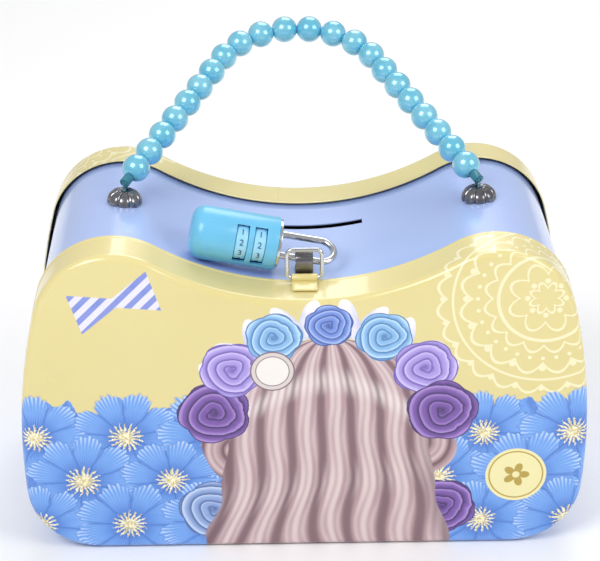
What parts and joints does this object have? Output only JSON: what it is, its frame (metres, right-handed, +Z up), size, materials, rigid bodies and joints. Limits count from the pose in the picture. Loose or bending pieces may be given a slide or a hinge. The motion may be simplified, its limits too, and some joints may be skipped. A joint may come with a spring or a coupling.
{
  "type": "tin money box",
  "caption": "Tin money box with two rounded humps, a hinged printed front with hook and padlock, a coin slot on top and a bead handle.",
  "frame": {"origin": "on the floor plane, midway across the width and midway between the lid's face and the back of the handle as it rests", "axes": "+X to the right across the width, -Y towards the printed front, +Z up"},
  "size_m": [0.165, 0.1074, 0.1299],
  "materials": {
    "blue_tin": "gloss enamel",
    "printed_tin": "gloss print",
    "yellow_tin": "gloss enamel",
    "steel": "bright zinc",
    "chrome": "polished",
    "lock_plastic": "gloss",
    "dial_plastic": "satin",
    "pearl": "pearl",
    "cord": "twisted cord",
    "neck_plastic": "gloss"
  },
  "bodies": {
    "root": {"body_band": "blue_tin", "back_cover": "printed_tin", "hinge_leaf": "steel", "hinge_pin": "steel", "latch_hook": "chrome", "hook_rivets": "steel", "hook_backing_plate": "steel", "handle_cap_left": "chrome", "handle_cap_right": "chrome", "cord_washer_left": "steel", "cord_washer_right": "steel", "cord_knot_left": "cord", "cord_knot_right": "cord"},
    "lid": {"front_lid": "printed_tin", "lid_bail_tab": "yellow_tin"},
    "bail": {"latch_bail": "chrome"},
    "padlock": {"lock_body": "lock_plastic", "lock_spindle": "steel", "lock_end_cap": "chrome"},
    "shackle": {"lock_shackle": "chrome"},
    "dial_1": {"lock_dial_1": "dial_plastic"},
    "dial_2": {"lock_dial_2": "dial_plastic"},
    "handle": {"bead_01": "pearl", "bead_02": "pearl", "bead_03": "pearl", "bead_04": "pearl", "bead_05": "pearl", "bead_06": "pearl", "bead_07": "pearl", "bead_08": "pearl", "bead_09": "pearl", "bead_10": "pearl", "bead_11": "pearl", "bead_12": "pearl", "bead_13": "pearl", "bead_14": "pearl", "bead_15": "pearl", "bead_16": "pearl", "bead_17": "pearl", "bead_18": "pearl", "bead_19": "pearl", "bead_20": "pearl", "bead_21": "pearl", "bead_22": "pearl", "handle_cord": "cord", "neck_left": "neck_plastic", "neck_right": "neck_plastic"}
  },
  "joints": [
    {"name": "lid_hinge", "type": "hinge", "parent": "root", "child": "lid", "pos_m": [0, -0.04023, 0.00085], "axis": [1, 0, 0], "range_deg": [0, 100]},
    {"name": "bail_swing", "type": "hinge", "parent": "lid", "child": "bail", "pos_m": [0, -0.04173, 0.08398], "axis": [1, 0, 0], "range_deg": [0, 88]},
    {"name": "padlock_swing", "type": "hinge", "parent": "root", "child": "padlock", "pos_m": [-0.00727, -0.03707, 0.08901], "axis": [0.9816, 0, -0.1908], "range_deg": [0, 60]},
    {"name": "shackle_pull", "type": "slide", "parent": "padlock", "child": "shackle", "axis": [0.9816, 0, -0.1908], "range_m": [0, 0.004]},
    {"name": "dial_1_turn", "type": "hinge", "parent": "padlock", "child": "dial_1", "pos_m": [-0.00691, -0.03588, 0.0909], "axis": [0.9816, 0, -0.1908], "continuous": true},
    {"name": "dial_2_turn", "type": "hinge", "parent": "padlock", "child": "dial_2", "pos_m": [-0.00691, -0.03588, 0.0909], "axis": [0.9816, 0, -0.1908], "continuous": true},
    {"name": "handle_swing", "type": "hinge", "parent": "root", "child": "handle", "pos_m": [0, -0.01423, 0.1014], "axis": [1, 0, 0], "range_deg": [-8, 120]}
  ]
}
